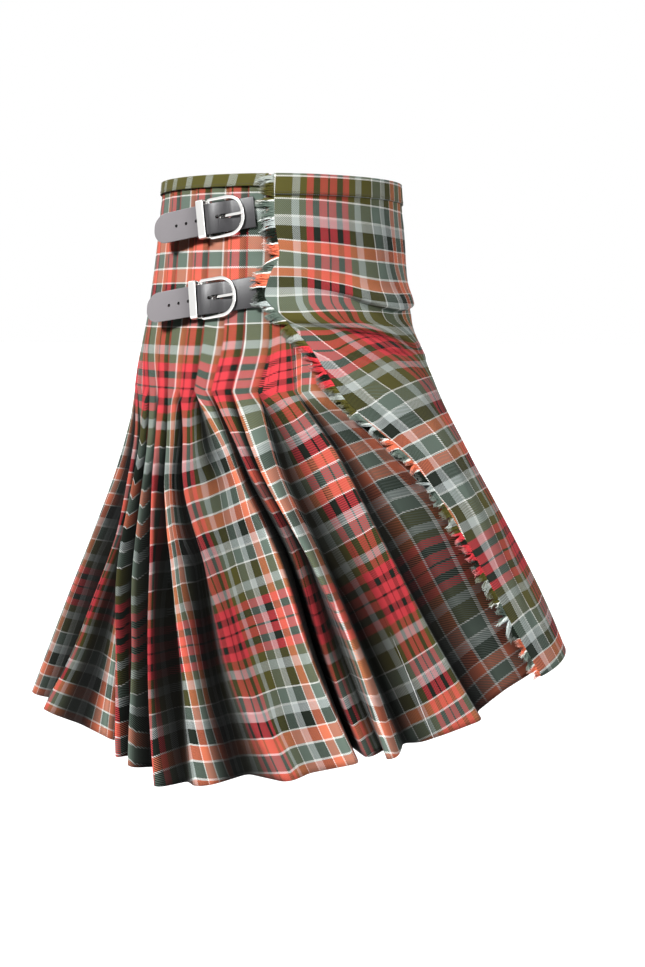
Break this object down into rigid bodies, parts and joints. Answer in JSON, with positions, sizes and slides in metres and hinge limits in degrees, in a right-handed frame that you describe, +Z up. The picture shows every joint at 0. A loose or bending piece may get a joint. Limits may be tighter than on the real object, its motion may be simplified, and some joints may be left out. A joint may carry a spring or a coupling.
{
  "type": "scottish kilt",
  "caption": "Knee-length wrapped tartan kilt in its worn, hollow form: pleated back and sides, flat fringed over apron, under apron, and leather straps with D buckles at the hips.",
  "frame": {"origin": "middle of the waist opening, level with the top edge of the cloth", "axes": "+Z up out of the waist, -Y towards the garment's front, -X towards the wearer's right side"},
  "size_m": [0.5692, 0.6197, 0.6158],
  "materials": {
    "tartan_cloth": "woven wool twill",
    "apron_cloth": "woven wool twill",
    "black_leather": "smooth, slightly glossy",
    "polished_metal": "polished"
  },
  "bodies": {
    "root": {"over_apron": "apron_cloth", "waistband_apron": "apron_cloth", "waistband_pleats": "apron_cloth", "apron_fringe": "apron_cloth", "under_apron": "tartan_cloth", "pleats_left": "tartan_cloth", "pleats_back": "tartan_cloth", "pleats_right": "tartan_cloth", "strap_upper": "black_leather", "tab_upper": "black_leather", "buckle_upper": "polished_metal", "prong_upper": "polished_metal", "strap_lower": "black_leather", "tab_lower": "black_leather", "buckle_lower": "polished_metal", "prong_lower": "polished_metal", "strap_left": "black_leather", "tab_left": "black_leather", "buckle_left": "polished_metal", "prong_left": "polished_metal"}
  },
  "joints": []
}
